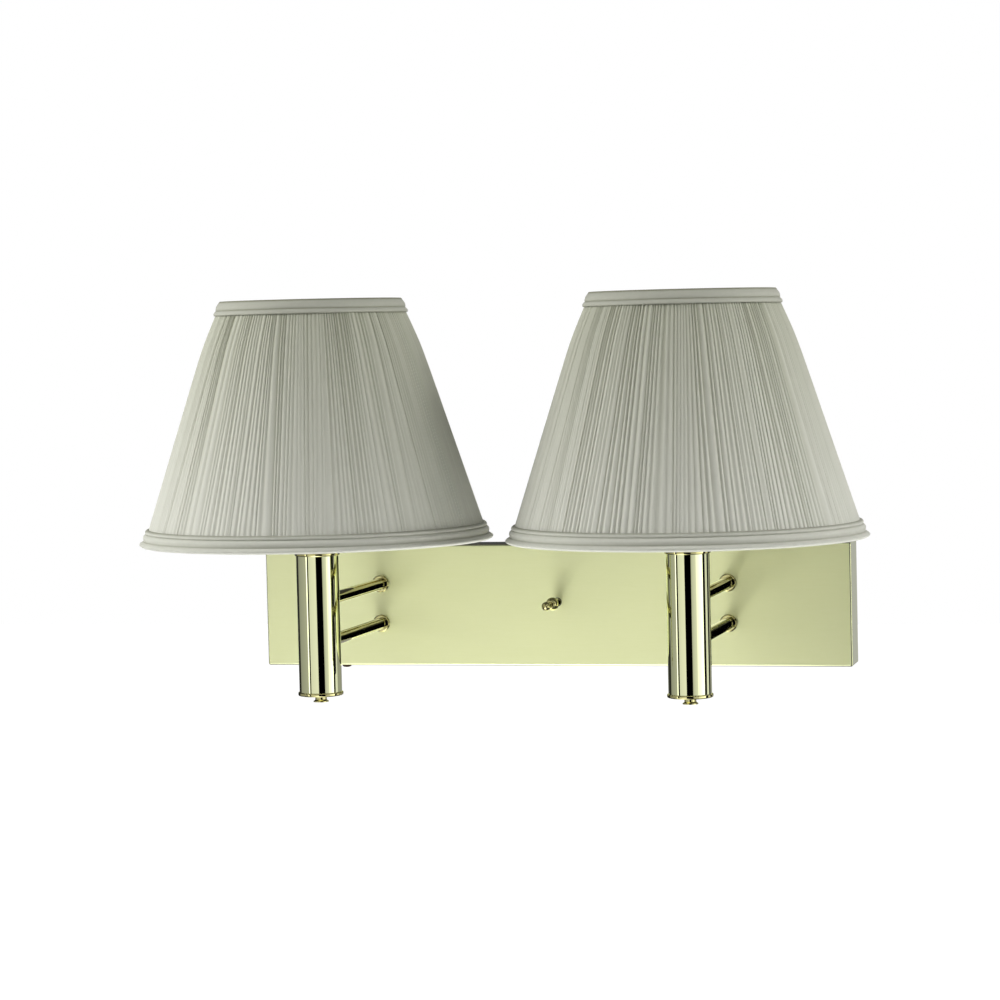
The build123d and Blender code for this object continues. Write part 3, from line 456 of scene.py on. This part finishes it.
class Skin:
    """Line of the outside of the pleats of one shade, from the bottom edge over the knee to the top."""

    def __init__(self, side):
        low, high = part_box(f"{side}_shade_pleats")
        self.centre = (low + high) / 2
        self.low = low.z
        self.high = high.z
        self.foot = (high.x - low.x) / 2
        self.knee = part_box(f"{side}_shade_top_trim")[1].z - KNEE_DROP

    def radius(self, z):
        """Radius at a height: the lower of two cones, with the knee between them rounded."""
        lower = self.foot + (KNEE_RADIUS - self.foot) * (z - self.low) / (self.knee - self.low)
        upper = KNEE_RADIUS + (CREST_RADIUS - KNEE_RADIUS) * (z - self.knee) / (self.high - self.knee)
        return (lower + upper) / 2 - math.hypot((lower - upper) / 2, KNEE_ROUND)

    def up(self, z):
        """Share of the way from the bottom edge to the top edge."""
        return (z - self.low) / (self.high - self.low)

    def point(self, angle, radius, z):
        """Place of a point round the shade's axis."""
        return Vector((self.centre.x + radius * math.cos(angle),
                       self.centre.y + radius * math.sin(angle), z))


def turned(outline, skin, steps):
    """Closed outline of (radius, height) pairs spun once round the shade's axis."""
    tool = bmesh.new()
    points = [tool.verts.new(skin.point(0.0, r, z)) for r, z in outline]
    edges = [tool.edges.new((a, b)) for a, b in zip(points, points[1:] + points[:1])]
    bmesh.ops.spin(tool, geom=points + edges, cent=(skin.centre.x, skin.centre.y, 0.0), axis=(0.0, 0.0, 1.0),
                   angle=2 * math.pi, steps=steps, use_merge=True, use_duplicate=False)
    bmesh.ops.remove_doubles(tool, verts=tool.verts, dist=1e-7)
    bmesh.ops.recalc_face_normals(tool, faces=tool.faces)
    return tool


def smooth(piece, sharp_degrees):
    """Smooth shading, with edges over an angle kept sharp."""
    for face in piece.data.polygons:
        face.use_smooth = True
    piece.data.set_sharp_from_angle(angle=math.radians(sharp_degrees))


laminate = moulded("lining_laminate", (0.74, 0.73, 0.68), (0.69, 0.68, 0.63), 0.55, 0.70, 0.08)
skins = {side: Skin(side) for side in SIDES}
for side in SIDES:
    skin = skins[side]
    heights = [skin.low + (skin.high - skin.low) * i / LINING_ROWS for i in range(LINING_ROWS + 1)]
    outside = [(skin.radius(z) - LINING_OUTER, z) for z in heights]
    inside = [(skin.radius(z) - LINING_INNER, z) for z in reversed(heights)]
    lining = to_object(f"{side}_lining", turned(outside + inside, skin, LINING_STEPS), [laminate])
    smooth(lining, LINING_SHARP)
    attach(lining, f"{side}_shade")
    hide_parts(f"{side}_shade_lining")

# Pleated cloth
# Ivory cloth gathered by hand in fine pleats, so that their width, depth and lean all vary.
# It is drawn from the bottom ring over the knee to the top ring and sewn under the trims.
PLEATS = 200
FOLD_POINTS = 8
CLOTH_ROWS = 30
FOLD_FOOT = {"left": 0.0009, "right": 0.0013}
FOLD_CREST = 0.0011
# Painted shade: the valleys of the pleats and the upper part of the shade are mixed towards a darker tone.
PAINTED_VALLEY_SHADE = 0.36
PAINTED_TOP_SHADE = 0.58
PAINTED_SHADE_TONE = (0.36, 0.37, 0.26)
THREAD_DEPTH = 0.0002
CLOTH_ROUGHNESS = 0.85
CLOTH_SHEEN = 0.15
CLOTH_SHARP = 50
DRIFT_CYCLES = (5, 11, 23)
PLEAT_WIDTH = (0.6, 1.15)
WIDE_EXTRA = (0.5, 1.1)
WIDE_SHARE = 0.13
LEAN_JITTER = 0.25
DEPTH_MEAN = 0.72
DEPTH_DRIFT = 0.22
DEPTH_JITTER = 0.28
DEPTH_LEAST = 0.35
SKEW_DRIFT = 0.45
SKEW_JITTER = 0.40
RIDGE_SHARPNESS = (0.7, 2.6)
CLOTH_SEED = 11


def woven_cloth():
    """Shared effect: threads that run up and across, slubs among them, a slow change of tone and painted
    shade.
    """
    group = shared_effect("woven_cloth", {"Vector": "Vector", "Tone": "Color", "Shade": "Color",
                                          "Painted Shade": "Color", "Depth": "Float", "Threads": "Vector",
                                          "Slubs": "Vector"}, {"Color": "Color", "Height": "Float"})
    given = place(group, "NodeGroupInput")
    fine = place(group, "ShaderNodeMapping")
    coarse = place(group, "ShaderNodeMapping")
    threads = place(group, "ShaderNodeTexNoise", {"Scale": 1.0, "Detail": 2.0})
    slubs = place(group, "ShaderNodeTexNoise", {"Scale": 1.0, "Detail": 4.0, "Roughness": 0.65})
    tone = place(group, "ShaderNodeMix", data_type="RGBA")
    sunk = place(group, "ShaderNodeMix", data_type="RGBA")
    relief = place(group, "ShaderNodeMath", operation="ADD")
    out = place(group, "NodeGroupOutput")
    group.links.new(given.outputs["Vector"], fine.inputs["Vector"])
    group.links.new(given.outputs["Threads"], fine.inputs["Scale"])
    group.links.new(given.outputs["Vector"], coarse.inputs["Vector"])
    group.links.new(given.outputs["Slubs"], coarse.inputs["Scale"])
    group.links.new(fine.outputs[0], threads.inputs["Vector"])
    group.links.new(coarse.outputs[0], slubs.inputs["Vector"])
    group.links.new(slubs.outputs["Fac"], tone.inputs["Factor"])
    group.links.new(given.outputs["Tone"], tone.inputs["A"])
    group.links.new(given.outputs["Shade"], tone.inputs["B"])
    group.links.new(threads.outputs["Fac"], relief.inputs[0])
    group.links.new(slubs.outputs["Fac"], relief.inputs[1])
    # Painted shade: the tone is mixed towards a darker one by the given share.
    group.links.new(given.outputs["Depth"], sunk.inputs["Factor"])
    group.links.new(tone.outputs["Result"], sunk.inputs["A"])
    group.links.new(given.outputs["Painted Shade"], sunk.inputs["B"])
    group.links.new(sunk.outputs["Result"], out.inputs["Color"])
    group.links.new(relief.outputs[0], out.inputs["Height"])
    return group


WOVEN_CLOTH = woven_cloth()


def cloth(name, source, tone, shade, painted_shade_tone, threads, slubs, relief):
    """A woven finish on the piece's UV map or on Object coordinates, with painted shade from its fold
    attribute.
    """
    finish, tree, skin = new_finish(name)
    skin.inputs["Roughness"].default_value = CLOTH_ROUGHNESS
    skin.inputs["Sheen Weight"].default_value = CLOTH_SHEEN
    where = place(tree, "ShaderNodeTexCoord")
    # The fold attribute carries the painted shade of the piece.
    depth = place(tree, "ShaderNodeAttribute", attribute_name="fold")
    effect = place(tree, "ShaderNodeGroup",
                   {"Tone": (*tone, 1.0), "Shade": (*shade, 1.0), "Painted Shade": (*painted_shade_tone, 1.0),
                    "Threads": threads, "Slubs": slubs}, node_tree=WOVEN_CLOTH)
    bump = place(tree, "ShaderNodeBump", {"Strength": relief, "Distance": THREAD_DEPTH})
    tree.links.new(where.outputs[source], effect.inputs["Vector"])
    tree.links.new(depth.outputs["Fac"], effect.inputs["Depth"])
    tree.links.new(effect.outputs["Color"], skin.inputs["Base Color"])
    tree.links.new(effect.outputs["Height"], bump.inputs["Height"])
    tree.links.new(bump.outputs["Normal"], skin.inputs["Normal"])
    return finish


def slow_wave(dice):
    """A value for each pleat that drifts round the shade, so that neighbours are alike."""
    parts = [(cycles, dice.uniform(0.0, 2 * math.pi)) for cycles in DRIFT_CYCLES]
    return [sum(math.sin(2 * math.pi * i * cycles / PLEATS + phase) / 2 for cycles, phase in parts)
            for i in range(PLEATS)]


def uneven_pleats(dice):
    """Edges, lean, depth, lopsidedness and sharpness of the pleats, as they come out by hand."""
    widths = [dice.uniform(*PLEAT_WIDTH) + (dice.uniform(*WIDE_EXTRA) if dice.random() < WIDE_SHARE else 0.0)
              for _ in range(PLEATS)]
    turn_share = 2 * math.pi / sum(widths)
    edges = [0.0]
    for width in widths:
        edges.append(edges[-1] + width * turn_share)
    mean = 2 * math.pi / PLEATS
    lean_wave, skew_wave, depth_wave = (slow_wave(dice) for _ in range(3))
    lean = [mean * (wave + dice.uniform(-LEAN_JITTER, LEAN_JITTER)) for wave in lean_wave]
    lean.append(lean[0])
    depth = [DEPTH_MEAN + DEPTH_DRIFT * wave + dice.uniform(-DEPTH_JITTER, DEPTH_JITTER)
             for wave in depth_wave]
    depth = [min(1.0, max(DEPTH_LEAST, share)) for share in depth]
    skew = [math.exp(SKEW_DRIFT * wave + dice.uniform(-SKEW_JITTER, SKEW_JITTER)) for wave in skew_wave]
    ridge = [dice.uniform(*RIDGE_SHARPNESS) for _ in range(PLEATS)]
    return edges, lean, depth, skew, ridge


def gathered(name, skin, foot_fold, dice, material):
    """A flat grid of cloth pushed into pleats round the skin, with painted shade in valleys and towards the
    top.
    """
    edges, lean, depth, skew, ridge = uneven_pleats(dice)
    columns = PLEATS * FOLD_POINTS
    tool = bmesh.new()
    tool.loops.layers.uv.new("UVMap")
    painted_shade_mark = tool.verts.layers.float.new("fold")
    bmesh.ops.create_grid(tool, x_segments=columns, y_segments=CLOTH_ROWS, size=1.0, calc_uvs=True)
    for vert in tool.verts:
        column = round((vert.co.x + 1) / 2 * columns) % columns
        up = (vert.co.y + 1) / 2
        pleat, step = divmod(column, FOLD_POINTS)
        across = step / FOLD_POINTS
        left = edges[pleat] + lean[pleat] * (up - 0.5)
        right = edges[pleat + 1] + lean[pleat + 1] * (up - 0.5)
        z = skin.low + (skin.high - skin.low) * up
        fold = (foot_fold + (FOLD_CREST - foot_fold) * up) * depth[pleat]
        sunk = 1 - math.sin(math.pi * across ** skew[pleat]) ** ridge[pleat]
        # Painted shade: darker in the valleys of the pleats, and more so towards the top.
        vert[painted_shade_mark] = PAINTED_VALLEY_SHADE * (0.5 + 0.5 * up) * depth[pleat] * sunk + PAINTED_TOP_SHADE * up
        vert.co = skin.point(left + (right - left) * across, skin.radius(z) - fold * sunk, z)
    bmesh.ops.remove_doubles(tool, verts=tool.verts, dist=1e-6)
    piece = to_object(name, tool, [material])
    smooth(piece, CLOTH_SHARP)
    return piece


ivory = cloth("ivory_pleats", "UV", (0.75, 0.755, 0.675), (0.60, 0.605, 0.53), PAINTED_SHADE_TONE,
              (3200.0, 700.0, 1.0), (760.0, 4.0, 1.0), 0.25)
pleats = {}
for number, side in enumerate(SIDES):
    dice = random.Random(CLOTH_SEED + number)
    pleats[side] = gathered(f"{side}_pleats", skins[side], FOLD_FOOT[side], dice, ivory)
    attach(pleats[side], f"{side}_shade")
    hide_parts(f"{side}_shade_pleats")

# Trims
# Strips of the same cloth cut on the bias and sewn round both edges: a rounded binding over a thin cord
# at the top, and an edge roll, a wide roll and a thin roll at the bottom. They pucker as they turn.
TRIM_GAP = 0.0003
TRIM_GROOVE = 0.0007
TRIM_STEPS = 260
TRIM_SHARP = 45
ROLL_POINTS = 9
ROLL_FULLNESS = 0.75
# Painted shade: how far the grooves, the top edge of each trim and the upper part darken, and the tone they
# go to.
PAINTED_GROOVE_SHADE = 0.45
GROOVE_DEPTH = 0.0007
PAINTED_EDGE_SHADE = 0.9
EDGE_DEPTH = 0.0016
TRIM_PAINTED_TOP_SHADE = 0.40
TRIM_PAINTED_SHADE_TONE = (0.22, 0.225, 0.155)
EDGE_ROLL = 0.0042
EDGE_BULGE = 0.0028
WIDE_ROLL = 0.0054
WIDE_BULGE = 0.0017
WIDE_LIFT = 1.5
THIN_BULGE = 0.0013
TOP_CORD = 0.0036
CORD_BULGE = 0.0009
BINDING_BULGE = 0.0011
BINDING_ROUND = 0.0006
BINDING_SHOULDER = 0.0008
PUCKER = 0.00012
PUCKER_WAVES = 6
PUCKER_CYCLES = (9, 70)
PUCKER_SIZES = (0.3, 1.0)
PUCKER_SLANT = 400
TRIM_SEED = 31


def roll(skin, low, high, bulge, lift=1.0):
    """Outline of a padded roll between two grooves, from the bottom up. A lift over 1 fills it higher."""
    line = []
    for i in range(ROLL_POINTS):
        share = i / ROLL_POINTS
        z = low + (high - low) * share
        proud = bulge * math.sin(math.pi * share ** lift) ** ROLL_FULLNESS
        line.append((skin.radius(z) + TRIM_GAP + TRIM_GROOVE + proud, z))
    return line


def puckered(tool, skin, dice):
    """Presses uneven folds into a turned trim, and paints shade into its grooves, along its top edge and
    near the top.
    """
    painted_shade_mark = tool.verts.layers.float.new("fold")
    rim = max(vert.co.z for vert in tool.verts)
    waves = [(dice.randint(*PUCKER_CYCLES), dice.uniform(0, 2 * math.pi), dice.uniform(*PUCKER_SIZES))
             for _ in range(PUCKER_WAVES)]
    for vert in tool.verts:
        out = Vector((vert.co.x - skin.centre.x, vert.co.y - skin.centre.y, 0.0))
        proud = out.length - skin.radius(vert.co.z) - TRIM_GAP - TRIM_GROOVE
        edge = max(0.0, 1 - (rim - vert.co.z) / EDGE_DEPTH)
        groove_shade = 1 - min(1.0, abs(proud) / GROOVE_DEPTH)
        # Painted shade in the grooves, along the top edge and towards the top of the shade.
        vert[painted_shade_mark] = max(PAINTED_GROOVE_SHADE * groove_shade, PAINTED_EDGE_SHADE * edge) + TRIM_PAINTED_TOP_SHADE * skin.up(vert.co.z)
        angle = math.atan2(out.y, out.x)
        wave = sum(size * math.sin(angle * cycles + phase + PUCKER_SLANT * vert.co.z)
                   for cycles, phase, size in waves) / PUCKER_WAVES
        vert.co += out.normalized() * PUCKER * wave
    return tool


# Painted shade: the binding is a darker copy of the ivory cloth, darkened to give its rolls their shade.
bias_cloth_painted_shade = cloth("bias_binding_painted_shade", "Object", (0.66, 0.665, 0.585), (0.57, 0.575, 0.50), TRIM_PAINTED_SHADE_TONE,
                   (1800.0, 1800.0, 1800.0), (260.0, 260.0, 420.0), 0.30)
for number, side in enumerate(SIDES):
    skin = skins[side]
    dice = random.Random(TRIM_SEED + number)
    foot, crown = (corner.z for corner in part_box(f"{side}_shade_bottom_trim"))
    outline = roll(skin, foot, foot + EDGE_ROLL, EDGE_BULGE)
    outline += roll(skin, foot + EDGE_ROLL, foot + EDGE_ROLL + WIDE_ROLL, WIDE_BULGE, WIDE_LIFT)
    outline += roll(skin, foot + EDGE_ROLL + WIDE_ROLL, crown, THIN_BULGE)
    edge = skin.radius(skin.low)
    outline += [(skin.radius(crown) + TRIM_GAP, crown), (edge + TRIM_GAP, skin.low - TRIM_GAP),
                (edge - LINING_INNER, skin.low - TRIM_GAP), (edge - LINING_INNER, foot)]
    tool = puckered(turned(outline, skin, TRIM_STEPS), skin, dice)
    bottom_trim = to_object(f"{side}_bottom_trim", tool, [bias_cloth_painted_shade])
    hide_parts(f"{side}_shade_bottom_trim")
    seam, top = (corner.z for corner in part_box(f"{side}_shade_top_trim"))
    outline = roll(skin, seam, seam + TOP_CORD, CORD_BULGE)
    outline += roll(skin, seam + TOP_CORD, top - BINDING_ROUND, BINDING_BULGE)
    edge = skin.radius(skin.high)
    outline += [(edge + BINDING_SHOULDER, top - BINDING_ROUND), (edge + TRIM_GAP, top),
                (edge - LINING_INNER, top), (edge - LINING_INNER, skin.high + TRIM_GAP),
                (edge + TRIM_GAP, skin.high + TRIM_GAP), (skin.radius(seam) + TRIM_GAP, seam)]
    tool = puckered(turned(outline, skin, TRIM_STEPS), skin, dice)
    top_trim = to_object(f"{side}_top_trim", tool, [bias_cloth_painted_shade])
    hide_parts(f"{side}_shade_top_trim")
    for trim in (bottom_trim, top_trim):
        smooth(trim, TRIM_SHARP)
        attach(trim, f"{side}_shade")
